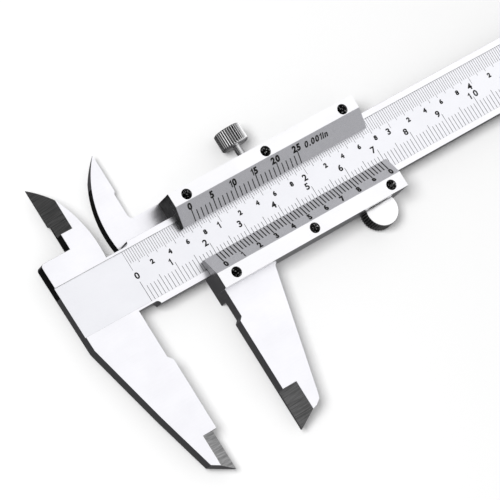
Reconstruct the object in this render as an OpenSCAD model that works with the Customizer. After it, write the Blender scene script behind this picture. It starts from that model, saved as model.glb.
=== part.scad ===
// Vernier caliper, 150 mm / 6 in, lying on the back of its slider.
// Drawing frame: X runs along the beam with 0 at the zero line of the main scale,
// Y is 0 at the beam's lower edge and grows towards the inside jaws, Z is 0 on the table.
// Everything is then moved so that the origin is the centre of the footprint.

/* [Beam] */
// Width of the beam between its two guide edges
beam_w = 16; // [15.5:0.1:16.5]
// Thickness of the beam and of the fixed jaws
beam_t = 3.3; // [3.1:0.1:3.5]
// Height of the beam's back face above the table
beam_z = 2.7; // [2.6:0.05:2.9]
// Distance from the scale's zero line to the far end of the beam
beam_reach = 208; // [205:1:240]
// Distance from the scale's zero line back to the outer edge of the head
head_reach = 18.85; // [18.5:0.05:20]
// Depth of the recess that holds the graduations
scale_recess = 0.5; // [0.2:0.05:0.6]
// Width of the raised rim along each long edge of the face
rim_w = 1.5; // [1.4:0.1:1.6]

/* [Outside jaws] */
// How far the outside jaws reach below the beam
jaw_reach = 40.3; // [38:0.1:44]
// X of the fixed outside measuring face
fixed_face_x = -3.15; // [-3.6:0.05:-3.1]
// Width of the ground bevel that makes each tip a knife edge
knife_w = 3.9; // [3:0.1:4.2]
// Length of the knife-edged tip
knife_l = 9.9; // [8:0.1:11]
// Thickness left at the knife edge
knife_land = 0.7; // [0.5:0.1:1]

/* [Inside jaws] */
// How far the inside jaws reach above the beam's lower edge
blade_top = 37.4; // [36:0.1:37.4]
// X of the fixed inside measuring edge
blade_face_x = -11.15; // [-11.3:0.05:-10.8]
// Radius of the curved back of the fixed blade
fixed_blade_r = 30; // [30:0.5:31]
// Radius of the curved back of the moving blade
moving_blade_r = 26; // [26:0.5:27]
// Relief of the blade below its measuring edge
blade_relief = 0.5; // [0.3:0.05:0.6]

/* [Slider] */
// Reading at which the slider stands, in millimetres
reading = 19.1; // [18.5:0.1:19.5]
// Length of the slider along the beam
slider_l = 54.2; // [54:0.1:55]
// Total thickness of the slider over its vernier plates
slider_t = 9.3; // [9.1:0.1:9.6]
// Thickness of the slider walls outside the beam's edges
wall_w = 4.5; // [4.4:0.1:4.7]
// Height of the seats that carry the vernier plates
seat_z = 7.5; // [7.3:0.1:7.7]
// Running clearance between the slider and the beam
play = 0.05; // [0.03:0.01:0.08]

/* [Vernier plates] */
// Width of the sloping graduated face of the upper plate
upper_slope_w = 4.8; // [4.5:0.1:5]
// Width of the sloping graduated face of the lower plate
lower_slope_w = 4.4; // [4.2:0.1:4.8]
// Height of a plate's thin edge above the beam's rim
edge_h = 1.1; // [0.9:0.1:1.4]
// Radius of a plate screw's head
plate_head_r = 1.3; // [1:0.1:1.3]
// Distance between plate screws
plate_pitch = 23; // [22:0.5:23.5]

/* [Lock screw] */
// Distance of the lock screw from the slider's left end
lock_at = 23.9; // [23:0.1:25]
// Radius of the knurled head
lock_head_r = 3.4; // [3:0.1:3.6]
// Length of the knurled head
lock_head_l = 4.6; // [4:0.1:4.8]
// Radius of the threaded shank
lock_shank_r = 1; // [0.8:0.05:1.1]

/* [Thumb wheel] */
// Radius of the thumb wheel
wheel_r = 4.25; // [4:0.05:4.3]
// Thickness of the thumb wheel
wheel_t = 4.1; // [3.8:0.1:4.1]
// Distance of the wheel's axle below the beam's lower edge
wheel_drop = 5.85; // [5.7:0.05:6]
// Distance of the wheel's axle from the slider's left end
wheel_at = 47.35; // [47:0.05:48]

/* [Depth rod] */
// Width of the depth rod
rod_w = 2.8; // [2.4:0.1:3]
// Thickness of the depth rod
rod_t = 1.4; // [1.2:0.1:1.5]

/* [Hidden] */

$fn = 64;
// Larger than the whole caliper, for cuts that run off its edge
big = 400;
// How far a cutter stands past the surface it opens
over = 1;

steel = [0.86, 0.87, 0.89];
turned_steel = [0.93, 0.94, 0.95];
dark_steel = [0.12, 0.12, 0.13];
plate_grey = [0.68, 0.69, 0.72];
hard_steel = [0.55, 0.56, 0.6];
brass = [0.78, 0.62, 0.3];

// Levels
beam_front = beam_z + beam_t;
floor_z = beam_front - scale_recess;
blade_t = beam_z - 2 * play;

// Head and fixed jaw
head_top = beam_w + 4.55;
head_r = 0.9;
head_lean = 0.3;
head_low = -2;
end_corner = 1;
jaw_root_x = fixed_face_x - 1.05;
jaw_root_low = -11.1;
jaw_face_top = -12.3;
jaw_tip_w = 6;
jaw_tip_rise = 3.4;
bevel_rise = 2.2;
bend_out = 4.2;
bend_rise = 18.1;
relief_d = 0.92;
upper_relief_end = 2.2;
lower_relief_end = 1.5;

// Blades: mirror images but for their curved backs
fixed_blade_root_w = 7.15;
moving_blade_root_w = 7.2;
fixed_blade_arc_y = 18;
moving_blade_arc_y = 19.5;
blade_jog_y = 27.5;
blade_jog_h = 0.3;
blade_tip_h = 0.1;
blade_knife_w = 3.7;
blade_knife_low = 24.5;
blade_land = 0.3;

// Slider
slider_x0 = fixed_face_x + reading - 0.35;
slider_x1 = slider_x0 + slider_l;
slider_mid = (slider_x0 + slider_x1) / 2;
slider_low = -wall_w;
slider_top = beam_w + wall_w;
wall_low = [slider_low, -play];
wall_high = [beam_w + play, slider_top];
back_x0 = slider_x0 + 1.2;
root_block_drop = 2.2;
root_block_l = 13.6;

// Moving jaw
moving_face_x = fixed_face_x + reading;
jaw_top_w = 14.95;
heel_w = 7.05;
heel_rise = 5.3;
heel_cut = [0.5, 1.4];
moving_bevel_rise = 2.6;
tip_flat = [1.2, 0.3];
root_flare = 0.8;
jaw_root_step = 0.4;
jaw_overlap = 1;

// Moving blade, a plate on the back of the slider
moving_blade_x = blade_face_x + reading;
blade_plate_y = beam_w - 2;
blade_plate_tail = [3, 4];
blade_corner = [0.3, 1];
blade_foot = 0.2;

// Gib pocket in the upper wall
pocket_end = 1.2;
pocket_d = 1.6;
pocket_gap = 0.1;
gib_t = 0.95;
gib_end_gap = 0.2;
spring_t = 0.2;
spring_rise = 0.34;
spring_steps = 48;
grub_r = 0.75;
grub_l = 2.4;

// Vernier plates
upper_edge_in = 3.75;
lower_edge_in = 3.7;
plate_over_floor = 0.12;
plate_over_rim = 0.1;
rim_step = 1.9;

// Plate screws: the lower row stands a little to the right of the upper one
lower_row_shift = 0.3;
screw_inset = 2;
head_h = 0.5;
shank_r = 0.8;
shank_play = 0.05;
shank_lap = 0.1;
plate_thread = 1.3;
slot_w = 0.35;
slot_d = 0.3;
cross_l = 1.6;

// Lock screw
lock_x = slider_x0 + lock_at;
lock_z = beam_z + beam_t / 2;
lock_head_y = slider_top + 2.9;
lock_tip_y = beam_w + 1.45;
lock_chamfer = 0.25;
lock_tip_chamfer = 0.2;
lock_play = 0.03;

// Thumb wheel and its bracket
wheel_x = slider_x0 + wheel_at;
wheel_z = 0.9;
wheel_top = wheel_z + wheel_t;
wheel_chamfer = 0.15;
wheel_gap = 0.3;
wheel_roof = 0.9;
window_x = [wheel_x - 4.2, wheel_x + 1.9];
window_d = 2.6;
axle_r = 0.9;
axle_play = 0.05;
axle_cap = 0.5;
axle_gap = 0.1;
bracket_t = 0.6;
bracket_z = 0.1;
bracket_gap = 0.1;
bracket_x0 = slider_x0 + 35.4;
bracket_low = slider_low + 0.3;
bracket_high = -0.9;
lobe_r = 2.4;
bracket_x1 = wheel_x + lobe_r - bracket_gap;
bracket_screw_x = [bracket_x0 + 1.8, bracket_x0 + 5.4];
bracket_screw_y = (bracket_low + bracket_high) / 2;
bracket_thread = 3.2;

// Depth rod, its carrier and the rear cover
rod_y = beam_w / 2;
rod_z = beam_z + 0.1;
groove_w = rod_w + 0.6;
groove_d = rod_t + 0.3;
groove_x0 = 34;
rod_x0 = slider_x0 + 38.4;
rod_x1 = beam_reach + reading;
rod_tip = 0.6;
carrier_x0 = rod_x0 + 1;
carrier_l = 10;
carrier_w = rod_w - 0.4;
window_gap = 0.2;
pin_r = 0.5;
pin_z = [0.95, rod_z + rod_t - 0.3];
pin_x = [carrier_x0 + carrier_l / 4, carrier_x0 + carrier_l * 3 / 4];
cover_x0 = rod_x0 - 6;
cover_l = 20;
cover_w = 11;
cover_t = 0.7;
cover_z = 0.05;
cover_top = cover_z + cover_t;
cover_inset = 2;
cover_gap = 0.1;
cover_thread_gap = 0.15;

// End stop
stop_l = 5;
stop_w = 12;
stop_t = 1.2;
stop_thread = 1.6;
stop_x = beam_reach - stop_l / 2;
stop_screw_y = [rod_y - 4, rod_y + 4];

small_head_r = 1.3;
small_head_h = 0.5;
small_shank_r = 0.75;

// Footprint, for the origin
foot_mid_x = (rod_x1 - head_reach) / 2;
foot_mid_y = (blade_top - jaw_reach) / 2;

function arc(c, r, a0, a1, n) =
    [for (i = [0:n]) c + r * [cos(a0 + (a1 - a0) * i / n), sin(a0 + (a1 - a0) * i / n)]];

// Curved back of a blade from height y0 to its tip, for a blade whose
// measuring edge is at x = 0 and whose body lies towards +X
function blade_back(root_w, r, arc_y, y0) =
    let (c = [root_w - r, arc_y])
    arc(c, r, asin((y0 - c[1]) / r), asin((blade_top - c[1]) / r), 24);

// Length of the gib, and where its two set screws stand
gib_l = slider_l - 2 * (pocket_end + gib_end_gap);
gib_screw_x = [slider_mid - gib_l / 4, slider_mid + gib_l / 4];

cover_screws = [
    for (i = [cover_inset, cover_l - cover_inset], s = [-1, 1])
        [cover_x0 + i, rod_y + s * (cover_w / 2 - cover_inset)]
];

module place() {
    translate([-foot_mid_x, -foot_mid_y, 0]) children();
}

// A box given by its lowest and highest corners
module block(low, high) {
    translate(low) cube(high - low);
}

module hole_z(x, y, r, z0, z1) {
    translate([x, y, z0]) cylinder(r = r, h = z1 - z0);
}

// A cylinder along +Y from y0
module hole_y(x, y0, z, r, l) {
    translate([x, y0, z]) rotate([-90, 0, 0]) cylinder(r = r, h = l);
}

// Wedge cut that turns the edge at x = 0 into a knife: full depth there,
// nothing at x = w, running from y0 to y1 and open towards +Z
module knife_cut(w, depth, y0, y1) {
    translate([0, y1, 0]) rotate([90, 0, 0])
        linear_extrude(y1 - y0)
            polygon([[-big, -depth], [0, -depth], [w, 0], [w, big], [-big, big]]);
}

module beam_outline() {
    back = blade_back(fixed_blade_root_w, fixed_blade_r, fixed_blade_arc_y, beam_w - relief_d);
    heel_x = fixed_face_x - jaw_tip_w;
    relief_x = blade_face_x + blade_relief;
    polygon(concat(
        arc([head_r - head_reach, head_top - head_r], head_r, 90, 180, 8),
        [
            [head_lean - head_reach, head_low],
            [heel_x - bend_out, bend_rise - jaw_reach],
            [heel_x, jaw_tip_rise - jaw_reach],
            [fixed_face_x - knife_w, bevel_rise - jaw_reach],
            [fixed_face_x, -jaw_reach],
            [fixed_face_x, jaw_face_top],
            [jaw_root_x, jaw_root_low],
            [jaw_root_x, relief_d]
        ],
        arc([lower_relief_end - relief_d, 0], relief_d, 90, 0, 6),
        [
            [beam_reach - end_corner, 0],
            [beam_reach, end_corner],
            [beam_reach, beam_w - end_corner],
            [beam_reach - end_corner, beam_w]
        ],
        arc([upper_relief_end - relief_d, beam_w], relief_d, 0, -90, 6),
        [for (p = back) p + [blade_face_x, 0]],
        [
            [blade_face_x, blade_top - blade_tip_h],
            [blade_face_x, blade_jog_y + blade_jog_h],
            [relief_x, blade_jog_y - blade_jog_h],
            [relief_x, head_top]
        ]
    ));
}

module beam() {
    color(steel) difference() {
        translate([0, 0, beam_z]) linear_extrude(beam_t) beam_outline();
        // recess for the graduations, and the rod's groove in the back
        block([-big, rim_w, floor_z], [big, beam_w - rim_w, beam_front + over]);
        block([groove_x0, rod_y - groove_w / 2, beam_z - over],
              [big, rod_y + groove_w / 2, beam_z + groove_d]);
        // knife edges of the outside jaw and the inside blade
        translate([fixed_face_x, 0, beam_front]) mirror([1, 0, 0])
            knife_cut(knife_w, beam_t - knife_land, -big / 2, knife_l - jaw_reach);
        translate([blade_face_x, 0, beam_front])
            knife_cut(blade_knife_w, beam_t - blade_land, blade_knife_low, blade_top + over);
        for (y = stop_screw_y) hole_z(stop_x, y, small_shank_r, beam_z - over, beam_z + stop_thread);
    }
}

// Screw driven from the back: flat slotted head at head_z, shank towards +Z
module small_screw(head_z, thread) {
    difference() {
        union() {
            translate([0, 0, head_z]) cylinder(r = small_head_r, h = small_head_h);
            translate([0, 0, head_z]) cylinder(r = small_shank_r, h = small_head_h + thread);
        }
        block([-small_head_r, -slot_w / 2, head_z - over], [small_head_r, slot_w / 2, head_z + slot_d]);
    }
}

module end_stop_plate() {
    color(steel) difference() {
        block([beam_reach - stop_l, rod_y - stop_w / 2, beam_z - stop_t],
              [beam_reach, rod_y + stop_w / 2, beam_z]);
        for (y = stop_screw_y) {
            hole_z(stop_x, y, small_shank_r, beam_z - stop_t - over, beam_z + over);
            hole_z(stop_x, y, small_head_r, beam_z - stop_t - over, beam_z - stop_t + small_head_h);
        }
    }
}

module end_stop_screws() {
    color(dark_steel) for (y = stop_screw_y)
        translate([stop_x, y, 0]) small_screw(beam_z - stop_t, stop_t - small_head_h + stop_thread);
}

module moving_jaw_outline() {
    heel = [moving_face_x + heel_w, heel_rise - jaw_reach];
    bevel_end = [moving_face_x + knife_w, moving_bevel_rise - jaw_reach];
    root_x = moving_face_x + jaw_top_w;
    root_y = slider_low + jaw_overlap;
    polygon([
        [moving_face_x, -jaw_reach],
        bevel_end,
        bevel_end + tip_flat,
        heel - heel_cut,
        heel,
        [root_x, slider_low - root_flare],
        [root_x + root_flare, slider_low],
        [root_x + root_flare, root_y],
        [back_x0, root_y],
        [back_x0, jaw_root_low - jaw_root_step],
        [moving_face_x, jaw_face_top]
    ]);
}

// Thin plate on the back of the slider that carries the moving inside blade
module moving_blade_outline() {
    back = blade_back(moving_blade_root_w, moving_blade_r, moving_blade_arc_y, blade_plate_y + over);
    relief_x = moving_blade_x - blade_relief;
    root_x = back_x0 + over;
    polygon(concat(
        [for (p = back) [moving_blade_x - p[0], p[1]]],
        [
            [moving_blade_x, blade_top - blade_tip_h],
            [moving_blade_x, blade_jog_y + blade_jog_h],
            [relief_x, blade_jog_y - blade_jog_h],
            [relief_x, head_top + blade_corner[1]],
            [relief_x + blade_corner[0], head_top + blade_corner[0]],
            [moving_blade_x + blade_foot, slider_top],
            [root_x, slider_top],
            [root_x, blade_plate_y - blade_plate_tail[1]],
            [root_x - blade_plate_tail[0] - over, blade_plate_y],
            [moving_blade_x - moving_blade_root_w, blade_plate_y]
        ]
    ));
}

module slider_body() {
    // back wall, and the thicker root behind the moving jaw
    block([back_x0, slider_low, 0], [slider_x1, slider_top, beam_z - play]);
    block([back_x0, slider_low - root_block_drop, 0],
          [back_x0 + root_block_l, slider_low + over, beam_z]);
    // lower and upper walls
    block([slider_x0, wall_low[0], beam_z - play], [slider_x1, wall_low[1], seat_z]);
    block([back_x0, wall_low[0], 0], [slider_x1, wall_low[1], beam_z]);
    block([slider_x0, wall_high[0], 0], [slider_x1, wall_high[1], seat_z]);
    linear_extrude(blade_t) moving_blade_outline();
    translate([0, 0, beam_z]) linear_extrude(beam_t) moving_jaw_outline();
}

module slider_frame() {
    color(steel) difference() {
        slider_body();
        // knife edge of the outside jaw, ground on the front
        translate([moving_face_x, 0, beam_front])
            knife_cut(knife_w, beam_t - knife_land, -big / 2, knife_l - jaw_reach);
        // knife edge of the inside blade, ground on the back
        translate([moving_blade_x, 0, 0]) rotate([0, 180, 0])
            knife_cut(blade_knife_w, blade_t - blade_land, blade_knife_low, blade_top + over);
        // pocket for the gib and its spring, and the tapped holes that open into it
        block([slider_x0 + pocket_end, beam_w - over, beam_z + pocket_gap / 2],
              [slider_x1 - pocket_end, beam_w + pocket_d, beam_front - pocket_gap / 2]);
        for (x = gib_screw_x) hole_y(x, beam_w, lock_z, grub_r, wall_w + over);
        hole_y(lock_x, beam_w, lock_z, lock_shank_r + lock_play, wall_w + over);
        // tapped holes for the plate screws
        for (x = plate_screw_x(0))
            hole_z(x, slider_top - screw_inset, shank_r, seat_z - plate_thread, seat_z + over);
        for (x = plate_screw_x(lower_row_shift))
            hole_z(x, slider_low + screw_inset, shank_r, seat_z - plate_thread, seat_z + over);
        // round pocket for the thumb wheel, open above its face, and a flat seat for its bracket
        hole_z(wheel_x, -wheel_drop, wheel_r + wheel_gap, -over, wheel_top + wheel_roof);
        block([window_x[0], slider_low - over, wheel_top], [window_x[1], slider_low + window_d, seat_z]);
        block([bracket_x0 - bracket_gap, slider_low - over, -over],
              [bracket_x1 + bracket_gap, bracket_high + bracket_gap, bracket_z + bracket_t]);
        for (x = bracket_screw_x)
            hole_z(x, bracket_screw_y, small_shank_r, 0, bracket_z + bracket_t + bracket_thread);
        // window for the rod carrier, seat and tapped holes for the rear cover
        block([carrier_x0 - window_gap, rod_y - groove_w / 2, -over],
              [carrier_x0 + carrier_l + window_gap, rod_y + groove_w / 2, beam_z]);
        block([cover_x0 - cover_gap, rod_y - cover_w / 2 - cover_gap, -over],
              [cover_x0 + cover_l + cover_gap, rod_y + cover_w / 2 + cover_gap, cover_top]);
        for (p = cover_screws) hole_z(p[0], p[1], small_shank_r, 0, beam_z + over);
    }
}

function plate_screw_x(shift) = [for (i = [-1:1]) slider_mid + shift + i * plate_pitch];

// Section of a vernier plate of width w: y = 0 at the edge that lies on the scale,
// the flat seat for the screws at the far end
module vernier_section(w, slope_w) {
    polygon([
        [0, floor_z + plate_over_floor],
        [rim_step, floor_z + plate_over_floor],
        [rim_step, beam_front + plate_over_rim],
        [w - wall_w, beam_front + plate_over_rim],
        [w - wall_w, seat_z],
        [w, seat_z],
        [w, slider_t],
        [slope_w, slider_t],
        [0, beam_front + edge_h]
    ]);
}

module vernier_plate(w, slope_w, shift) {
    difference() {
        translate([slider_x0, 0, 0]) rotate([90, 0, 90])
            linear_extrude(slider_l) vernier_section(w, slope_w);
        for (x = plate_screw_x(shift))
            hole_z(x, w - screw_inset, shank_r + shank_play, 0, slider_t + over);
    }
}

module upper_vernier_plate() {
    color(plate_grey) translate([0, beam_w - upper_edge_in, 0])
        vernier_plate(upper_edge_in + wall_w, upper_slope_w, 0);
}

module lower_vernier_plate() {
    color(plate_grey) translate([0, lower_edge_in, 0]) mirror([0, 1, 0])
        vernier_plate(lower_edge_in + wall_w, lower_slope_w, lower_row_shift);
}

// Low domed screw with a cross recess
module plate_screw() {
    dome_r = (plate_head_r * plate_head_r + head_h * head_h) / (2 * head_h);
    a0 = 90 - asin(plate_head_r / dome_r);
    difference() {
        union() {
            rotate_extrude() polygon(concat([[0, 0]], arc([0, head_h - dome_r], dome_r, a0, 90, 6)));
            translate([0, 0, seat_z - plate_thread - slider_t])
                cylinder(r = shank_r, h = slider_t - seat_z + plate_thread + shank_lap);
        }
        for (a = [45, 135]) rotate([0, 0, a])
            block([-cross_l / 2, -slot_w / 2, head_h - slot_d], [cross_l / 2, slot_w / 2, head_h + over]);
    }
}

module upper_plate_screws() {
    color(dark_steel) for (x = plate_screw_x(0))
        translate([x, slider_top - screw_inset, slider_t]) plate_screw();
}

module lower_plate_screws() {
    color(dark_steel) for (x = plate_screw_x(lower_row_shift))
        translate([x, slider_low + screw_inset, slider_t]) plate_screw();
}

module gib_strip() {
    color(brass) block(
        [slider_mid - gib_l / 2, beam_w + play, beam_z + pocket_gap],
        [slider_mid + gib_l / 2, beam_w + play + gib_t, beam_front - pocket_gap]);
}

// Leaf spring: two shallow waves, pressed by the set screws at their crests
module gib_spring() {
    n = spring_steps;
    wave = [for (i = [0:n]) [gib_l * i / n, spring_rise / 2 * (1 - cos(720 * i / n))]];
    color(hard_steel)
        translate([slider_mid - gib_l / 2, beam_w + play + gib_t, beam_z + pocket_gap])
            linear_extrude(beam_t - 2 * pocket_gap)
                polygon(concat(wave, [for (i = [n:-1:0]) wave[i] + [0, spring_t]]));
}

module gib_set_screws() {
    y0 = beam_w + play + gib_t + spring_rise + spring_t;
    color(dark_steel) for (x = gib_screw_x) difference() {
        hole_y(x, y0, lock_z, grub_r, grub_l);
        block([x - grub_r, y0 + grub_l - slot_d, lock_z - slot_w / 2],
              [x + grub_r, y0 + grub_l + over, lock_z + slot_w / 2]);
    }
}

module lock_screw() {
    c = lock_chamfer;
    end_y = lock_head_y + lock_head_l;
    color(turned_steel) translate([lock_x, 0, lock_z]) rotate([-90, 0, 0]) rotate_extrude() polygon([
        [0, lock_tip_y],
        [lock_shank_r - lock_tip_chamfer, lock_tip_y],
        [lock_shank_r, lock_tip_y + lock_tip_chamfer],
        [lock_shank_r, lock_head_y],
        [lock_head_r - c, lock_head_y],
        [lock_head_r, lock_head_y + c],
        [lock_head_r, end_y - c],
        [lock_head_r - c, end_y],
        [0, end_y]
    ]);
}

module depth_rod() {
    color(turned_steel) difference() {
        translate([0, 0, rod_z]) linear_extrude(rod_t) polygon([
            [rod_x0, rod_y - rod_w / 2],
            [rod_x1 - rod_tip, rod_y - rod_w / 2],
            [rod_x1, rod_y - rod_w / 2 + rod_tip],
            [rod_x1, rod_y + rod_w / 2],
            [rod_x0, rod_y + rod_w / 2]
        ]);
        for (x = pin_x) hole_z(x, rod_y, pin_r, rod_z - over, pin_z[1]);
    }
}

module rod_carrier() {
    color(steel) difference() {
        block([carrier_x0, rod_y - carrier_w / 2, cover_top],
              [carrier_x0 + carrier_l, rod_y + carrier_w / 2, rod_z]);
        for (x = pin_x) hole_z(x, rod_y, pin_r, pin_z[0], rod_z + over);
    }
}

module rod_pins() {
    color(hard_steel) for (x = pin_x) hole_z(x, rod_y, pin_r, pin_z[0], pin_z[1]);
}

module rear_cover() {
    color(steel) difference() {
        block([cover_x0, rod_y - cover_w / 2, cover_z],
              [cover_x0 + cover_l, rod_y + cover_w / 2, cover_top]);
        for (p = cover_screws) {
            hole_z(p[0], p[1], small_shank_r, cover_z - over, cover_top + over);
            hole_z(p[0], p[1], small_head_r, cover_z - over, cover_z + small_head_h);
        }
    }
}

module rear_cover_screws() {
    color(dark_steel) for (p = cover_screws) translate([p[0], p[1], 0])
        small_screw(cover_z, beam_z - cover_z - small_head_h - cover_thread_gap);
}

module thumb_wheel() {
    c = wheel_chamfer;
    bore_r = axle_r + axle_play;
    color(turned_steel) translate([wheel_x, -wheel_drop, wheel_z]) rotate_extrude($fn = 96) polygon([
        [bore_r, 0],
        [wheel_r - c, 0],
        [wheel_r, c],
        [wheel_r, wheel_t - c],
        [wheel_r - c, wheel_t],
        [0, wheel_t],
        [0, wheel_t - axle_cap],
        [bore_r, wheel_t - axle_cap]
    ]);
}

module wheel_axle() {
    color(hard_steel)
        hole_z(wheel_x, -wheel_drop, axle_r, bracket_z, wheel_top - axle_cap - axle_gap);
}

module wheel_bracket() {
    color(hard_steel) difference() {
        translate([0, 0, bracket_z]) linear_extrude(bracket_t) union() {
            translate([bracket_x0, bracket_low])
                square([bracket_x1 - bracket_x0, bracket_high - bracket_low]);
            translate([wheel_x, -wheel_drop]) circle(r = lobe_r);
        }
        hole_z(wheel_x, -wheel_drop, axle_r, 0, bracket_z + bracket_t + over);
        for (x = bracket_screw_x) {
            hole_z(x, bracket_screw_y, small_shank_r, 0, bracket_z + bracket_t + over);
            hole_z(x, bracket_screw_y, small_head_r, 0, bracket_z + small_head_h);
        }
    }
}

module bracket_screws() {
    color(dark_steel) for (x = bracket_screw_x) translate([x, bracket_screw_y, 0])
        small_screw(bracket_z, bracket_t - small_head_h + bracket_thread);
}

place() beam();
place() end_stop_plate();
place() end_stop_screws();
place() slider_frame();
place() upper_vernier_plate();
place() lower_vernier_plate();
place() upper_plate_screws();
place() lower_plate_screws();
place() gib_strip();
place() gib_spring();
place() gib_set_screws();
place() lock_screw();
place() depth_rod();
place() rod_carrier();
place() rod_pins();
place() rear_cover();
place() rear_cover_screws();
place() thumb_wheel();
place() wheel_axle();
place() wheel_bracket();
place() bracket_screws();
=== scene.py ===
"""Looks for the vernier caliper: graduations, numerals, knurls, thread, finishes, light and camera.

Lengths are in millimetres in the caliper's drawing frame, and place() turns them into the row
frame in metres. The drawing frame has X along the beam with 0 at the zero line of the main
scale, Y across it with 0 at the beam's lower edge, and Z up with 0 on the table.
"""

import math

import bmesh
import bpy
from mathutils import Matrix, Vector


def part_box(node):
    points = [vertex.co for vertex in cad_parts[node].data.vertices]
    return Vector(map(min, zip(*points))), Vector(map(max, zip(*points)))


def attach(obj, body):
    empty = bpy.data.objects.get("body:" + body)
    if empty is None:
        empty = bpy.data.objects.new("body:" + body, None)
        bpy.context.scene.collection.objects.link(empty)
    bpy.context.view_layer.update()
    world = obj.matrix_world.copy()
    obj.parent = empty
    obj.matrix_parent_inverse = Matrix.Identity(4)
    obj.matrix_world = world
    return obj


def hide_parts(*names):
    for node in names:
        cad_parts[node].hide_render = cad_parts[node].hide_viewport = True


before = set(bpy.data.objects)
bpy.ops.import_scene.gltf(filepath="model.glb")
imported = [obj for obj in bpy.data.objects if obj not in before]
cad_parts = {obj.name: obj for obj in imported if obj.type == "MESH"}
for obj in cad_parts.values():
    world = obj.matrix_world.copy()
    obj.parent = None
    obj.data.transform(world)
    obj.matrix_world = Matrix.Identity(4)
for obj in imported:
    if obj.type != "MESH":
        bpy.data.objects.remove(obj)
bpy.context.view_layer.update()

MM = 0.001
INCH = 25.4

# Places worked out from the frame
BEAM_W = 16
HEAD_REACH = 18.85  # from the zero line back to the outer edge of the head
RECESS = 0.5
beam_low, beam_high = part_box("beam")
rod_low, rod_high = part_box("depth_rod")
ORIGIN = Vector((
    beam_low.x + HEAD_REACH * MM,
    (rod_low.y + rod_high.y) / 2 - BEAM_W / 2 * MM,
    0,
))


def place(x, y, z):
    """A point of the drawing frame, in metres in the row frame."""
    return ORIGIN + Vector((x, y, z)) * MM


def drawing_box(node):
    """A node's lowest and highest corners in the drawing frame."""
    return [(corner - ORIGIN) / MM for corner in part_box(node)]


BEAM_FRONT = beam_high.z / MM
FLOOR_Z = BEAM_FRONT - RECESS
UPPER_LOW, UPPER_HIGH = drawing_box("upper_vernier_plate")
LOWER_LOW, LOWER_HIGH = drawing_box("lower_vernier_plate")
SCREW_LOW, SCREW_HIGH = drawing_box("lock_screw")
WHEEL_LOW, WHEEL_HIGH = drawing_box("thumb_wheel")

# Vernier plates: each slopes from its flat top down to a thin edge on the scale
UPPER_SLOPE_W = 4.8
LOWER_SLOPE_W = 4.4
EDGE_Z = BEAM_FRONT + 1.1
SLOPE_RISE = UPPER_HIGH.z - EDGE_Z
VERNIER_ZERO = UPPER_LOW.x + 3.5

# Graduations: ink stands INK_H over a surface and starts INK_SINK under it
RIM_W = 1.5
RIM_GAP = 0.02
INK_H = 0.012
INK_SINK = 0.01
METRIC_END = 150
INCH_END = 6
INCH_PARTS = 40

# Lengths of the lines, each for divisions that the first number divides, and their widths
METRIC_TICKS = ((1, 3.65), (5, 4.5), (10, 5.15))
METRIC_LINE_W = 0.12
INCH_TICKS = ((1, 3.3), (4, 3.9), (20, 4.2), (40, 4.9))
INCH_LINE_W = 0.09
UPPER_TICKS = ((1, 2.1), (5, 2.75))
UPPER_LINE_W = 0.24
LOWER_TICKS = ((1, 2.2), (5, 2.45))
LOWER_LINE_W = 0.3

# Y of the verniers' lines: where they start, and where their lengths are counted from
UPPER_LINE_START = 12.3
UPPER_LINE_BASE = 12.4
LOWER_LINE_BASE = 3.6

# Numerals: heights, Y of their middles, and how far their middles stand from their lines
SCALE_NUMERAL_H = 1.65
METRIC_NUMERAL_Y = 7.15
METRIC_ZERO_Y = 8.15
METRIC_SHIFT = -0.95
METRIC_WIDE_SHIFT = 0.2  # for 0 and for numbers of two digits
METRIC_GAP = 0.56
INCH_NUMERAL_Y = 9.2
INCH_SHIFT = -1.05
TENTH_NUMERAL_H = 1.25
TENTH_NUMERAL_Y = 9.35
TENTH_SHIFT = 0.2
UPPER_NUMERAL_H = 1.6
UPPER_NUMERAL_Y = 15.75
UPPER_ZERO_SHIFT = -0.1
MARK_X = 36.9  # from the vernier's zero
MARK_Y = 15.45
MARK_H = 1.45
LOWER_NUMERAL_H = 1.45
LOWER_NUMERAL_Y = 0.35


# ---------------------------------------------------------------- materials

SATIN_ROUGH = (0.27, 0.38)
SATIN_STREAK = (7, 0.12, 0.12)
END_SHADE_ABOVE = 12  # end faces further across the beam than this are painted dark as shade
STEEL_IOR = 2.5


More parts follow.
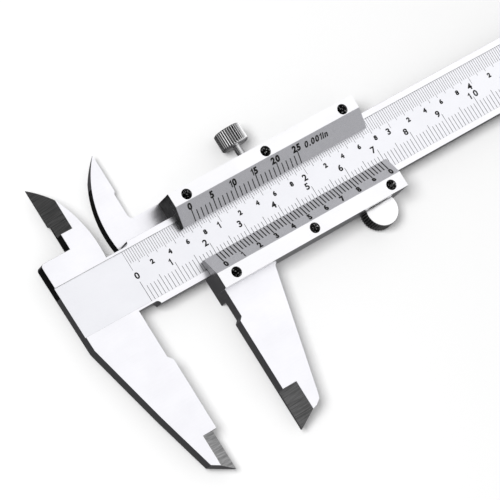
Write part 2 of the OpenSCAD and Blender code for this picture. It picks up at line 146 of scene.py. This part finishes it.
class Recipe:
    """A material's node tree with short ways to add nodes to it."""

    def __init__(self, name, **surface):
        self.material = bpy.data.materials.new(name)
        self.material.use_nodes = True
        self.tree = self.material.node_tree
        self.shader = self.tree.nodes["Principled BSDF"]
        for socket, value in surface.items():
            self.shader.inputs[socket.replace("_", " ")].default_value = value
        self.coords = self.add("ShaderNodeTexCoord").outputs["Object"]
        self.millimetres = self.scaled(self.coords, (1 / MM,) * 3)

    def add(self, kind, inputs=None, **settings):
        made = self.tree.nodes.new(kind)
        for key, value in settings.items():
            setattr(made, key, value)
        for key, value in (inputs or {}).items():
            socket = made.inputs[key]
            if isinstance(value, bpy.types.NodeSocket):
                self.tree.links.new(value, socket)
            else:
                socket.default_value = value
        return made

    def scaled(self, vector, scale):
        return self.add("ShaderNodeMapping", {"Vector": vector, "Scale": scale}).outputs["Vector"]

    def noise(self, size, detail=3.0, roughness=0.55):
        """Noise whose features are about size mm across along X, Y and Z."""
        stretch = self.scaled(self.millimetres, tuple(1 / s for s in size))
        inputs = {"Vector": stretch, "Scale": 1.0, "Detail": detail, "Roughness": roughness}
        return self.add("ShaderNodeTexNoise", inputs).outputs["Fac"]

    def math(self, operation, a, b=0.0):
        return self.add("ShaderNodeMath", {0: a, 1: b}, operation=operation).outputs["Value"]

    def spread(self, value, low, high, to_low=0.0, to_high=1.0):
        inputs = {
            "Value": value, "From Min": low, "From Max": high, "To Min": to_low, "To Max": to_high,
        }
        return self.add("ShaderNodeMapRange", inputs).outputs["Result"]

    def mix(self, factor, a, b):
        made = self.add("ShaderNodeMix", data_type="RGBA")
        for socket, value in ((made.inputs[0], factor), (made.inputs[6], a), (made.inputs[7], b)):
            if isinstance(value, bpy.types.NodeSocket):
                self.tree.links.new(value, socket)
            else:
                socket.default_value = value
        return made.outputs[2]

    def bump(self, height, strength, distance_mm, normal=None):
        inputs = {"Height": height, "Strength": strength, "Distance": distance_mm * MM}
        if normal is not None:
            inputs["Normal"] = normal
        return self.add("ShaderNodeBump", inputs).outputs["Normal"]

    def facing(self):
        """The X, Y and Z parts of the direction that the flat face looks in."""
        normal = self.add("ShaderNodeNewGeometry").outputs["True Normal"]
        return self.add("ShaderNodeSeparateXYZ", {0: normal}).outputs

    def paint(self, **sockets):
        for name, value in sockets.items():
            self.tree.links.new(value, self.shader.inputs[name.replace("_", " ")])
        return self.material


def grey(value, tint=(0.0, 0.0, 0.0)):
    """A grey as a colour, with a small amount added to each channel."""
    return (value + tint[0], value + tint[1], value + tint[2], 1.0)


def steel_recipe(name, light, dark, rough, streak, strength=0.25):
    """Brushed steel: fine streaks, slow tone changes and scattered scratches."""
    recipe = Recipe(name, Metallic=1.0, IOR=STEEL_IOR)
    streaks = recipe.noise(streak, detail=4.0, roughness=0.6)
    cloud = recipe.noise((9, 7, 7), detail=3.0)
    grain = recipe.noise((0.35, 0.3, 0.3), detail=2.0)
    tone = recipe.math("ADD", recipe.math("MULTIPLY", streaks, 0.45), recipe.math("MULTIPLY", cloud, 0.55))
    colour = recipe.mix(recipe.spread(tone, 0.35, 0.65), dark, light)
    roughness = recipe.spread(
        recipe.math("ADD", recipe.math("MULTIPLY", streaks, 0.6), recipe.math("MULTIPLY", grain, 0.4)),
        0.3, 0.7, *rough)
    normal = recipe.bump(grain, strength * 0.5, 0.01, recipe.bump(streaks, strength, 0.012))
    return recipe, colour, roughness, normal


def darken_ends(recipe, colour, facing):
    """Painted shade: the end faces over the moving blade, which look towards the head, are painted dark."""
    across = recipe.add("ShaderNodeSeparateXYZ", {0: recipe.millimetres}).outputs["Y"]
    high = recipe.math("GREATER_THAN", across, ORIGIN.y / MM + END_SHADE_ABOVE)
    ends = recipe.math("MULTIPLY", high, recipe.math("LESS_THAN", facing["X"], -0.9))
    # a mottle in the painted shade
    shade_mottle = recipe.noise((1.5, 1.5, 1.5), detail=4.0)
    painted_shade = recipe.mix(recipe.spread(shade_mottle, 0.35, 0.65), grey(0.03), grey(0.1))
    return recipe.mix(ends, colour, painted_shade)


def satin_steel():
    """Satin steel of the beam and slider, a little greyer in the scale's recess."""
    recipe, colour, roughness, normal = steel_recipe(
        "satin_steel", grey(0.94, (0.0, -0.004, 0.024)), grey(0.87, (0.0, -0.004, 0.028)),
        SATIN_ROUGH, SATIN_STREAK)
    height = recipe.add("ShaderNodeSeparateXYZ", {0: recipe.millimetres}).outputs["Z"]
    off_floor = recipe.math("ABSOLUTE", recipe.math("SUBTRACT", height, FLOOR_Z))
    on_floor = recipe.math("LESS_THAN", off_floor, 0.03)
    colour = recipe.mix(recipe.math("MULTIPLY", on_floor, 0.5), colour, grey(0.78, (-0.008, 0.0, 0.03)))
    facing = recipe.facing()
    # painted shade on the end faces that look towards the head
    colour = darken_ends(recipe, colour, facing)
    # the wedges ground on the jaws' tips keep coarse stripes across the edge
    sideways = recipe.math("GREATER_THAN", recipe.math("ABSOLUTE", facing["X"]), 0.4)
    ground = recipe.math("MULTIPLY", sideways, recipe.math("GREATER_THAN", facing["Z"], 0.5))
    stripes = recipe.noise((6, 0.13, 6), detail=4.0, roughness=0.7)
    stripe_colour = recipe.mix(recipe.spread(stripes, 0.38, 0.62), grey(0.26), grey(0.66))
    colour = recipe.mix(ground, colour, stripe_colour)
    return recipe.paint(Base_Color=colour, Roughness=roughness, Normal=normal)


def vernier_chrome():
    """The plates: brushed flats, and a speckled matte grey on the sloping graduated face."""
    recipe, colour, roughness, normal = steel_recipe(
        "vernier_chrome", grey(0.94, (0.0, -0.002, 0.012)), grey(0.88, (0.0, -0.002, 0.014)),
        SATIN_ROUGH, SATIN_STREAK)
    facing = recipe.facing()
    sloping = recipe.math("LESS_THAN", facing["Z"], 0.97)
    rising = recipe.math("GREATER_THAN", facing["Z"], 0.5)
    blasted = recipe.math("MULTIPLY", sloping, rising)
    speckle = recipe.noise((0.12, 0.12, 0.12), detail=3.0, roughness=0.7)
    matte = recipe.mix(
        recipe.spread(speckle, 0.3, 0.7), grey(0.5, (0.0, 0.0, 0.025)), grey(0.78, (0.0, 0.0, 0.035)))
    colour = recipe.mix(blasted, colour, matte)
    # painted shade on the end faces that look towards the head
    colour = darken_ends(recipe, colour, facing)
    roughness = recipe.math("ADD", roughness, recipe.math("MULTIPLY", blasted, 0.16))
    return recipe.paint(Base_Color=colour, Roughness=roughness, Normal=normal)


def bright_steel():
    """Turned steel of the rod and the knurled pieces, smoother than the satin steel."""
    recipe, colour, roughness, normal = steel_recipe(
        "bright_steel", grey(0.95), grey(0.86), (0.16, 0.28), (0.6, 0.6, 0.6), strength=0.15)
    return recipe.paint(Base_Color=colour, Roughness=roughness, Normal=normal)


def spring_steel():
    """Plain hardened steel, darker than the rest."""
    recipe, colour, roughness, normal = steel_recipe(
        "spring_steel", grey(0.62, (0.0, 0.0, 0.02)), grey(0.46, (0.0, 0.0, 0.02)),
        (0.25, 0.4), (4, 0.2, 0.2))
    return recipe.paint(Base_Color=colour, Roughness=roughness, Normal=normal)


def brass():
    """Plain brass of the gib, by the steels' recipe."""
    recipe, colour, roughness, normal = steel_recipe(
        "brass", (0.83, 0.62, 0.27, 1.0), (0.62, 0.43, 0.16, 1.0), (0.26, 0.42), (5, 0.2, 0.2))
    return recipe.paint(Base_Color=colour, Roughness=roughness, Normal=normal)


def black_oxide():
    """Blackened screws, with brighter, smoother patches here and there: rubbed spots that carry a painted
    highlight.
    """
    recipe = Recipe("black_oxide", Metallic=1.0, IOR=1.6)
    rub_and_highlight = recipe.noise((0.45, 0.45, 0.45), detail=4.0)
    # the brighter patches are painted highlights
    colour = recipe.mix(recipe.spread(rub_and_highlight, 0.55, 0.66), grey(0.003), grey(0.4))
    roughness = recipe.spread(rub_and_highlight, 0.3, 0.7, 0.4, 0.26)
    return recipe.paint(Base_Color=colour, Roughness=roughness, Normal=recipe.bump(rub_and_highlight, 0.3, 0.02))


def ink(name, value):
    """Paint that fills the graduations, thinner in places."""
    recipe = Recipe(name, Metallic=0.0, IOR=1.45, Specular_IOR_Level=0.2)
    worn = recipe.noise((0.5, 0.25, 0.3), detail=4.0)
    colour = recipe.mix(recipe.spread(worn, 0.45, 0.8), grey(value), grey(value * 2.2 + 0.01))
    roughness = recipe.spread(worn, 0.3, 0.7, 0.5, 0.75)
    return recipe.paint(Base_Color=colour, Roughness=roughness, Normal=recipe.bump(worn, 0.2, 0.01))


def groove_grime():
    """Oil and dirt packed in the grooves of a knurl, painted dark also as the shade deep in them."""
    recipe = Recipe("groove_grime", Metallic=0.0, IOR=1.45, Specular_IOR_Level=0.1)
    grime_and_shade_mottle = recipe.noise((0.3, 0.3, 0.3), detail=4.0)
    # near-black grime and painted shade for the grooves
    colour = recipe.mix(recipe.spread(grime_and_shade_mottle, 0.4, 0.75), grey(0.003), grey(0.02))
    roughness = recipe.spread(grime_and_shade_mottle, 0.3, 0.7, 0.6, 0.85)
    return recipe.paint(Base_Color=colour, Roughness=roughness, Normal=recipe.bump(grime_and_shade_mottle, 0.3, 0.02))


def worn_edge():
    """The thin rounding along every edge, rubbed bright."""
    recipe = Recipe("worn_edge", Metallic=1.0, IOR=STEEL_IOR)
    rub = recipe.noise((2.5, 1.5, 1.0), detail=4.0)
    colour = recipe.mix(recipe.spread(rub, 0.35, 0.65), grey(0.72), grey(0.97))
    roughness = recipe.spread(rub, 0.35, 0.65, 0.34, 0.18)
    return recipe.paint(Base_Color=colour, Roughness=roughness, Normal=recipe.bump(rub, 0.15, 0.02))


MATERIALS = {
    "satin_steel": satin_steel(),
    "vernier_chrome": vernier_chrome(),
    "bright_steel": bright_steel(),
    "spring_steel": spring_steel(),
    "brass": brass(),
    "black_oxide": black_oxide(),
}
LINE_INK = ink("line_ink", 0.05)
BLACK_INK = ink("black_ink", 0.006)
WORN_EDGE = worn_edge()
KNURLED = [MATERIALS["bright_steel"], groove_grime()]

NODE_MATERIALS = {
    "beam": "satin_steel",
    "slider_frame": "satin_steel",
    "end_stop_plate": "satin_steel",
    "rear_cover": "satin_steel",
    "rod_carrier": "satin_steel",
    "upper_vernier_plate": "vernier_chrome",
    "lower_vernier_plate": "vernier_chrome",
    "upper_plate_screws": "black_oxide",
    "lower_plate_screws": "black_oxide",
    "end_stop_screws": "black_oxide",
    "gib_set_screws": "black_oxide",
    "rear_cover_screws": "black_oxide",
    "bracket_screws": "black_oxide",
    "depth_rod": "bright_steel",
    "gib_strip": "brass",
    "gib_spring": "spring_steel",
    "rod_pins": "spring_steel",
    "wheel_axle": "spring_steel",
    "wheel_bracket": "spring_steel",
}
EDGE_ROUNDING = {  # widths in mm
    "beam": 0.09,
    "slider_frame": 0.09,
    "end_stop_plate": 0.12,
    "rear_cover": 0.08,
    "upper_vernier_plate": 0.07,
    "lower_vernier_plate": 0.07,
    "depth_rod": 0.1,
    "wheel_bracket": 0.06,
}
WELD_DISTANCE = 0.0005
FLAT_ANGLE = 0.5
SHARP_ANGLE = 25


def finish_nodes():
    """Gives every CAD node that stays in view its material and its worn edges."""
    for node, material in NODE_MATERIALS.items():
        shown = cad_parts[node]
        shown.data.materials.clear()
        shown.data.materials.append(MATERIALS[material])
        if node in EDGE_ROUNDING:
            round_edges(shown, EDGE_ROUNDING[node])


def round_edges(shown, width):
    """A small worn rounding along the sharp edges, made from the flat faces as whole polygons."""
    shown.data.materials.append(WORN_EDGE)
    merge = shown.modifiers.new("weld", "WELD")
    merge.merge_threshold = WELD_DISTANCE * MM
    flats = shown.modifiers.new("flats", "DECIMATE")
    flats.decimate_type = "DISSOLVE"
    flats.angle_limit = math.radians(FLAT_ANGLE)
    bevel = shown.modifiers.new("edges", "BEVEL")
    bevel.width = width * MM
    bevel.segments = 2
    bevel.limit_method = "ANGLE"
    bevel.angle_limit = math.radians(SHARP_ANGLE)
    bevel.material = 1
    bevel.harden_normals = True


# ---------------------------------------------------------------- meshes


def add_piece(name, bm, materials, body, smooth=None):
    """Turns a bmesh into a piece that rides on a body."""
    mesh = bpy.data.meshes.new(name)
    bmesh.ops.recalc_face_normals(bm, faces=bm.faces)
    bm.to_mesh(mesh)
    bm.free()
    for material in materials:
        mesh.materials.append(material)
    piece = bpy.data.objects.new(name, mesh)
    bpy.context.scene.collection.objects.link(piece)
    if smooth is not None:
        mesh.shade_smooth()
        mesh.set_sharp_from_angle(angle=math.radians(smooth))
    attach(piece, body)
    return piece


def on_beam(x, y, h):
    """A point h above the floor of the beam's recess."""
    return place(x, y, FLOOR_Z + h)


def on_slope(thin_edge_y, direction, slope_w):
    """Maps x, y and a height onto the sloping face of one vernier plate."""
    length = math.hypot(slope_w, SLOPE_RISE)
    normal = Vector((0, -direction * SLOPE_RISE / length, slope_w / length))

    def put(x, y, h):
        z = EDGE_Z + direction * (y - thin_edge_y) * SLOPE_RISE / slope_w
        return place(x + normal.x * h, y + normal.y * h, z + normal.z * h)

    return put


on_upper = on_slope(UPPER_LOW.y, 1, UPPER_SLOPE_W)
on_lower = on_slope(LOWER_HIGH.y, -1, LOWER_SLOPE_W)


def add_line(bm, surface, x, y0, y1, width):
    """One graduation: a thin closed bar from y0 to y1."""
    heights = (-INK_SINK, INK_H)
    corners = [
        bm.verts.new(surface(x + dx, y, h))
        for h in heights
        for dx, y in ((-width / 2, y0), (width / 2, y0), (width / 2, y1), (-width / 2, y1))
    ]
    bm.faces.new(corners[3::-1])
    bm.faces.new(corners[4:])
    for i in range(4):
        j = (i + 1) % 4
        bm.faces.new((corners[i], corners[j], corners[j + 4], corners[i + 4]))


GLYPH_HALF_DEPTH = 0.1  # any depth does: only the sign of z is used in the end
WIDEN = 1.1  # the typeface is a little narrow for engraved numerals

# Outline of the numeral 1, with a flag, in heights of a numeral about its middle
ONE = (
    (0.13, -0.5), (0.13, 0.5), (0.01, 0.5), (-0.1, 0.37), (-0.27, 0.27),
    (-0.27, 0.11), (-0.15, 0.16), (-0.06, 0.23), (-0.06, -0.5),
)


def one_glyph():
    """The numeral 1 as a closed flat bmesh."""
    part = bmesh.new()
    rings = [[part.verts.new((x, y, z)) for x, y in ONE] for z in (-GLYPH_HALF_DEPTH, GLYPH_HALF_DEPTH)]
    part.faces.new(rings[0][::-1])
    part.faces.new(rings[1])
    for i in range(len(ONE)):
        j = (i + 1) % len(ONE)
        part.faces.new((rings[0][i], rings[0][j], rings[1][j], rings[1][i]))
    return part


def font_glyph(letter, bold):
    """One letter of the plain typeface as a closed flat bmesh, in font units."""
    curve = bpy.data.curves.new("glyph", "FONT")
    curve.body = letter
    curve.resolution_u = 3
    curve.extrude = GLYPH_HALF_DEPTH
    curve.offset = bold
    holder = bpy.data.objects.new("glyph", curve)
    bpy.context.scene.collection.objects.link(holder)
    mesh = bpy.data.meshes.new_from_object(holder.evaluated_get(bpy.context.evaluated_depsgraph_get()))
    bpy.data.objects.remove(holder)
    bpy.data.curves.remove(curve)
    part = bmesh.new()
    part.from_mesh(mesh)
    bpy.data.meshes.remove(mesh)
    bmesh.ops.remove_doubles(part, verts=part.verts, dist=0.0005)
    return part


def extent(part, axis):
    """Lowest and highest coordinate of a bmesh along an axis."""
    values = [v.co[axis] for v in part.verts]
    return min(values), max(values)


def letter_glyph(letter, bold):
    """A letter scaled so that a numeral is one unit high and centred on y = 0."""
    if letter == "1":
        return one_glyph()
    zero = font_glyph("0", bold)
    low, high = extent(zero, 1)
    zero.free()
    part = font_glyph(letter, bold)
    for v in part.verts:
        v.co.x *= WIDEN / (high - low)
        v.co.y = (v.co.y - (low + high) / 2) / (high - low)
    return part


def add_label(bm, surface, text, x, y, height, bold=0.035, italic=0.0, gap=0.09):
    """Numerals of the given height centred on x, y, with a gap between letters in heights."""
    parts = [letter_glyph(letter, bold) for letter in text]
    spans = [extent(part, 0) for part in parts]
    cursor = -(sum(high - low for low, high in spans) + gap * (len(text) - 1)) / 2
    for part, (low, high) in zip(parts, spans):
        for v in part.verts:
            h = INK_H if v.co.z > 0 else -INK_SINK
            along = v.co.x - low + cursor + v.co.y * italic
            v.co = surface(x + along * height, y + v.co.y * height, h)
        made = bpy.data.meshes.new("letter")
        part.to_mesh(made)
        part.free()
        bm.from_mesh(made)
        bpy.data.meshes.remove(made)
        cursor += high - low + gap


def tick_length(index, steps):
    """The length for the largest division that index falls on."""
    return max((length for every, length in steps if index % every == 0), default=0)


def metric_scale():
    """Millimetre lines up from the beam's lower rim, and the centimetres' numerals."""
    low = RIM_W + RIM_GAP
    lines = bmesh.new()
    for i in range(METRIC_END + 1):
        add_line(lines, on_beam, i, low, low + tick_length(i, METRIC_TICKS), METRIC_LINE_W)
    add_piece("metric_lines", lines, [LINE_INK], "beam")
    labels = bmesh.new()
    for cm in range(METRIC_END // 10 + 1):
        x = cm * 10 + (METRIC_SHIFT if 0 < cm < 10 else METRIC_WIDE_SHIFT)
        y = METRIC_NUMERAL_Y if cm else METRIC_ZERO_Y
        add_label(labels, on_beam, str(cm), x, y, SCALE_NUMERAL_H, gap=METRIC_GAP)
    add_piece("metric_numerals", labels, [BLACK_INK], "beam")


def inch_scale():
    """Lines of a fortieth of an inch down from the upper rim, and numerals for inches and tenths."""
    high = BEAM_W - RIM_W - RIM_GAP
    part = INCH / INCH_PARTS
    lines = bmesh.new()
    for i in range(INCH_END * INCH_PARTS + 1):
        add_line(lines, on_beam, i * part, high - tick_length(i, INCH_TICKS), high, INCH_LINE_W)
    add_piece("inch_lines", lines, [LINE_INK], "beam")
    labels = bmesh.new()
    for inch in range(INCH_END):
        for tenth in (2, 4, 6, 8):
            x = (inch + tenth / 10) * INCH + TENTH_SHIFT
            add_label(labels, on_beam, str(tenth), x, TENTH_NUMERAL_Y, TENTH_NUMERAL_H, bold=0.06)
    for inch in range(1, INCH_END + 1):
        add_label(labels, on_beam, str(inch), inch * INCH + INCH_SHIFT, INCH_NUMERAL_Y, SCALE_NUMERAL_H)
    add_piece("inch_numerals", labels, [BLACK_INK], "beam")


def upper_vernier():
    """25 divisions that span 49 of the beam's fortieths of an inch, so each reads 0.001 in."""
    step = 49 * INCH / INCH_PARTS / 25
    lines = bmesh.new()
    for i in range(26):
        high = UPPER_LINE_BASE + tick_length(i, UPPER_TICKS)
        add_line(lines, on_upper, VERNIER_ZERO + i * step, UPPER_LINE_START, high, UPPER_LINE_W)
    add_piece("upper_vernier_lines", lines, [BLACK_INK], "slider")
    labels = bmesh.new()
    for i in range(0, 26, 5):
        x = VERNIER_ZERO + i * step + (0.0 if i else UPPER_ZERO_SHIFT)
        add_label(labels, on_upper, str(i), x, UPPER_NUMERAL_Y, UPPER_NUMERAL_H, bold=0.055)
    add_label(
        labels, on_upper, "0.001in", VERNIER_ZERO + MARK_X, MARK_Y, MARK_H, bold=0.04, italic=0.18, gap=0.16)
    add_piece("upper_vernier_numerals", labels, [BLACK_INK], "slider")


def lower_vernier():
    """50 divisions that span 49 mm, so each reads 0.02 mm."""
    step = 49 / 50
    lines = bmesh.new()
    for i in range(51):
        low = LOWER_LINE_BASE - tick_length(i, LOWER_TICKS)
        add_line(lines, on_lower, VERNIER_ZERO + i * step, low, LOWER_LINE_BASE, LOWER_LINE_W)
    add_piece("lower_vernier_lines", lines, [BLACK_INK], "slider")
    labels = bmesh.new()
    for i in range(11):
        x = VERNIER_ZERO + i * 5 * step
        add_label(labels, on_lower, str(i % 10), x, LOWER_NUMERAL_Y, LOWER_NUMERAL_H, bold=0.06)
    add_piece("lower_vernier_numerals", labels, [BLACK_INK], "slider")


def add_lathe(bm, rows, around, cut_at, to_world, in_groove=None):
    """A closed turned form. rows are (height, radius, depth): depth is how far cuts go in.

    cut_at gives how much is cut off the radius at a step round the axis. Faces in a cut for
    which in_groove is true take the piece's second material.
    """
    rings = []
    for height, radius, depth in rows:
        ring = []
        for i in range(around):
            angle = 2 * math.pi * i / around
            r = radius - cut_at(i, angle, height, depth)
            ring.append(bm.verts.new(to_world(r * math.cos(angle), r * math.sin(angle), height)))
        rings.append(ring)
    for row, (lower, upper) in enumerate(zip(rings, rings[1:])):
        cut = rows[row][2] > 0 and rows[row + 1][2] > 0
        for i in range(around):
            j = (i + 1) % around
            face = bm.faces.new((lower[i], lower[j], upper[j], upper[i]))
            if cut and in_groove is not None and in_groove(i):
                face.material_index = 1
    bm.faces.new(rings[0])
    bm.faces.new(rings[-1])


# Share of the full depth that is cut at each step round one tooth, and the steps that start a
# face painted dark as grime and painted shade
KNURL_PROFILE = (0.0, 0.0, 0.5, 1.0, 1.0, 1.0, 1.0, 0.5)
KNURL_GROOVE = (3, 4, 5)
KNURL_STEPS = len(KNURL_PROFILE)
KNURL_SMOOTH = 35  # edges sharper than this stay sharp


def knurl_cut(i, angle, height, depth):
    """Straight knurl: flat-topped teeth with sloping sides."""
    return depth * KNURL_PROFILE[i % KNURL_STEPS]


def in_knurl_groove(i):
    """Whether the face that starts at step i lies low in a groove."""
    return i % KNURL_STEPS in KNURL_GROOVE


def lock_screw():
    """Knurled head and threaded shank, turned about the screw's own axis."""
    head_l = 4.6
    head_r = (SCREW_HIGH.x - SCREW_LOW.x) / 2
    centre_x = (SCREW_HIGH.x + SCREW_LOW.x) / 2
    centre_z = (SCREW_HIGH.z + SCREW_LOW.z) / 2
    tip = SCREW_LOW.y
    neck = SCREW_HIGH.y - head_l
    top = SCREW_HIGH.y
    teeth = 34
    cut = 0.17
    chamfer = 0.3

    def to_world(a, b, height):
        return place(centre_x + a, height, centre_z - b)

    head = bmesh.new()
    add_lathe(head, (
        (neck, head_r - 1.3, 0),
        (neck, head_r - 0.5, 0),
        (neck + 0.25, head_r - 0.12, 0),
        (neck + 0.4, head_r - 0.02, cut * 0.3),
        (neck + 0.55, head_r, cut * 0.8),
        (neck + 0.7, head_r, cut),
        (top - chamfer - 0.15, head_r, cut),
        (top - chamfer, head_r - 0.02, cut * 0.7),
        (top - 0.18, head_r - 0.25, 0.0),
        (top - 0.04, head_r - 0.5, 0),
        (top, head_r - 0.8, 0),
        (top - 0.06, 1.2, 0),
    ), teeth * KNURL_STEPS, knurl_cut, to_world, in_knurl_groove)

    shank_r = 1.0
    pitch = 0.4
    thread_depth = 0.22
    per_turn = 10
    shank_around = 40
    rows = [(tip, shank_r - 0.35, 0), (tip + 0.2, shank_r - 0.18, 0)]
    count = int((neck - tip - 0.3) / pitch * per_turn)
    for k in range(count + 1):
        height = tip + 0.2 + (neck - tip - 0.2) * (k + 1) / (count + 1)
        rows.append((height, shank_r, thread_depth))
    rows.append((neck + 0.2, shank_r - 0.1, 0))

    def thread_cut(i, angle, height, depth):
        """A V that climbs one pitch in each turn."""
        phase = (height / pitch - angle / (2 * math.pi)) % 1
        return depth * abs(phase - 0.5) * 2

    add_lathe(head, rows, shank_around, thread_cut, to_world)
    piece = add_piece("knurled_lock_screw", head, KNURLED, "lock_screw", KNURL_SMOOTH)
    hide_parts("lock_screw")


def thumb_wheel():
    """Knurled wheel with a turned face, closed over its axle."""
    radius = (WHEEL_HIGH.x - WHEEL_LOW.x) / 2
    centre_x = (WHEEL_HIGH.x + WHEEL_LOW.x) / 2
    centre_y = (WHEEL_HIGH.y + WHEEL_LOW.y) / 2
    low, high = WHEEL_LOW.z, WHEEL_HIGH.z
    bore = 0.95
    cap = 0.5
    teeth = 40
    cut = 0.3

    def to_world(a, b, height):
        return place(centre_x + a, centre_y + b, height)

    bm = bmesh.new()
    add_lathe(bm, (
        (high - cap, bore, 0),
        (low, bore, 0),
        (low, radius - 0.5, 0),
        (low + 0.15, radius - 0.3, 0),
        (low + 0.3, radius, cut),
        (high - 0.22, radius, cut),
        (high - 0.1, radius - 0.04, cut * 0.6),
        (high - 0.02, radius - 0.16, 0),
        (high, radius - 0.3, 0),
        (high - 0.02, 0.6, 0),
    ), teeth * KNURL_STEPS, knurl_cut, to_world, in_knurl_groove)
    piece = add_piece("knurled_thumb_wheel", bm, KNURLED, "thumb_wheel", KNURL_SMOOTH)
    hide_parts("thumb_wheel")


# ---------------------------------------------------------------- stage

FLOOR_HALF = 3.0  # metres
FLOOR_COLOUR = (0.9, 0.9, 0.9, 1)

# What the metal mirrors: brightness by direction, from facing away from PANEL_TOWARDS to facing it
PANEL_TOWARDS = (0.7, 0.15, 0.7)
PANEL_STOPS = (
    (0.0, 0.05), (0.1, 0.05), (0.2, 0.06), (0.27, 0.08), (0.34, 0.17), (0.4, 0.04), (0.455, 0.01),
    (0.5, 0.1), (0.546, 0.34), (0.6, 0.25), (0.83, 0.5), (0.88, 0.75), (0.95, 1.12), (1.0, 1.25),
)
EVEN_GLOW = 0.48  # what every other ray sees

KEY_TOWARDS = (-0.54, 0.15, 0.83)
KEY_DISTANCE = 1.2
KEY_SIZE = 0.45
KEY_POWER = 12.1

# The camera, solved from the scales' lines in the photo
AIM = (27.485, 0.69, BEAM_FRONT)
VIEW_AZIMUTH = -78.24
VIEW_ELEVATION = 62.495
VIEW_ROLL = 47.54
VIEW_DISTANCE = 765.55
LENS = 242.08
SENSOR_W = 36
NEAREST = 0.01


def make_floor():
    """A pale matte floor that glossy rays pass through, so that the metal doesn't mirror it."""
    size = FLOOR_HALF
    bm = bmesh.new()
    corners = [bm.verts.new((x * size, y * size, 0)) for x, y in ((-1, -1), (1, -1), (1, 1), (-1, 1))]
    bm.faces.new(corners)
    mesh = bpy.data.meshes.new("studio_floor")
    bm.to_mesh(mesh)
    bm.free()
    floor = bpy.data.objects.new("studio_floor", mesh)
    bpy.context.scene.collection.objects.link(floor)
    material = bpy.data.materials.new("studio_floor")
    material.use_nodes = True
    tree = material.node_tree
    tree.nodes.clear()
    pale = tree.nodes.new("ShaderNodeBsdfDiffuse")
    pale.inputs["Color"].default_value = FLOOR_COLOUR
    unseen = tree.nodes.new("ShaderNodeBsdfTransparent")
    path = tree.nodes.new("ShaderNodeLightPath")
    mix = tree.nodes.new("ShaderNodeMixShader")
    out = tree.nodes.new("ShaderNodeOutputMaterial")
    tree.links.new(path.outputs["Is Glossy Ray"], mix.inputs[0])
    tree.links.new(pale.outputs[0], mix.inputs[1])
    tree.links.new(unseen.outputs[0], mix.inputs[2])
    tree.links.new(mix.outputs[0], out.inputs["Surface"])
    mesh.materials.append(material)


def make_world():
    """Glossy rays see a grey ramp, brightest above and to the right, and all others an even glow."""
    world = bpy.data.worlds.new("studio")
    bpy.context.scene.world = world
    world.use_nodes = True
    world.cycles.sampling_method = "NONE"
    tree = world.node_tree
    tree.nodes.clear()
    coords = tree.nodes.new("ShaderNodeTexCoord")
    towards = tree.nodes.new("ShaderNodeVectorMath")
    towards.operation = "DOT_PRODUCT"
    towards.inputs[1].default_value = PANEL_TOWARDS
    half = tree.nodes.new("ShaderNodeMath")
    half.operation = "MULTIPLY_ADD"
    half.inputs[1].default_value = 0.5
    half.inputs[2].default_value = 0.5
    ramp = tree.nodes.new("ShaderNodeValToRGB")
    while len(ramp.color_ramp.elements) < len(PANEL_STOPS):
        ramp.color_ramp.elements.new(0.5)
    for element, (position, value) in zip(ramp.color_ramp.elements, PANEL_STOPS):
        element.position = position
        element.color = (value, value, value * 1.01, 1)
    panel = tree.nodes.new("ShaderNodeBackground")
    even = tree.nodes.new("ShaderNodeBackground")
    even.inputs["Color"].default_value = (1, 1, 1, 1)
    even.inputs["Strength"].default_value = EVEN_GLOW
    path = tree.nodes.new("ShaderNodeLightPath")
    mix = tree.nodes.new("ShaderNodeMixShader")
    out = tree.nodes.new("ShaderNodeOutputWorld")
    tree.links.new(coords.outputs["Generated"], towards.inputs[0])
    tree.links.new(towards.outputs["Value"], half.inputs[0])
    tree.links.new(half.outputs[0], ramp.inputs["Fac"])
    tree.links.new(ramp.outputs["Color"], panel.inputs["Color"])
    tree.links.new(path.outputs["Is Glossy Ray"], mix.inputs[0])
    tree.links.new(even.outputs[0], mix.inputs[1])
    tree.links.new(panel.outputs[0], mix.inputs[2])
    tree.links.new(mix.outputs[0], out.inputs["Surface"])


def make_key_light():
    """A square soft light that faces the camera's aim and that glossy rays don't see."""
    data = bpy.data.lights.new("key", "AREA")
    data.size = KEY_SIZE
    data.energy = KEY_POWER
    light = bpy.data.objects.new("key", data)
    bpy.context.scene.collection.objects.link(light)
    direction = Vector(KEY_TOWARDS).normalized()
    light.location = place(*AIM) + direction * KEY_DISTANCE
    light.rotation_mode = "QUATERNION"
    light.rotation_quaternion = (-direction).to_track_quat("-Z", "Y")
    light.visible_glossy = False


def make_camera():
    """The camera that the photo was taken with, as solved."""
    azimuth, elevation, roll = (math.radians(a) for a in (VIEW_AZIMUTH, VIEW_ELEVATION, VIEW_ROLL))
    back = Vector((
        math.sin(azimuth) * math.cos(elevation),
        -math.cos(azimuth) * math.cos(elevation),
        math.sin(elevation),
    ))
    level = (-back).cross(Vector((0, 0, 1))).normalized()
    right = level * math.cos(roll) + level.cross(-back) * math.sin(roll)
    up = back.cross(right)
    data = bpy.data.cameras.new("camera")
    data.lens = LENS
    data.sensor_width = SENSOR_W
    data.clip_start = NEAREST
    camera = bpy.data.objects.new("camera", data)
    bpy.context.scene.collection.objects.link(camera)
    turn = Matrix((right, up, back)).transposed()
    camera.matrix_world = Matrix.Translation(place(*AIM) + back * VIEW_DISTANCE * MM) @ turn.to_4x4()
    bpy.context.scene.camera = camera


finish_nodes()
metric_scale()
inch_scale()
upper_vernier()
lower_vernier()
lock_screw()
thumb_wheel()
make_floor()
make_world()
make_key_light()
make_camera()
bpy.context.scene.view_settings.view_transform = "Standard"
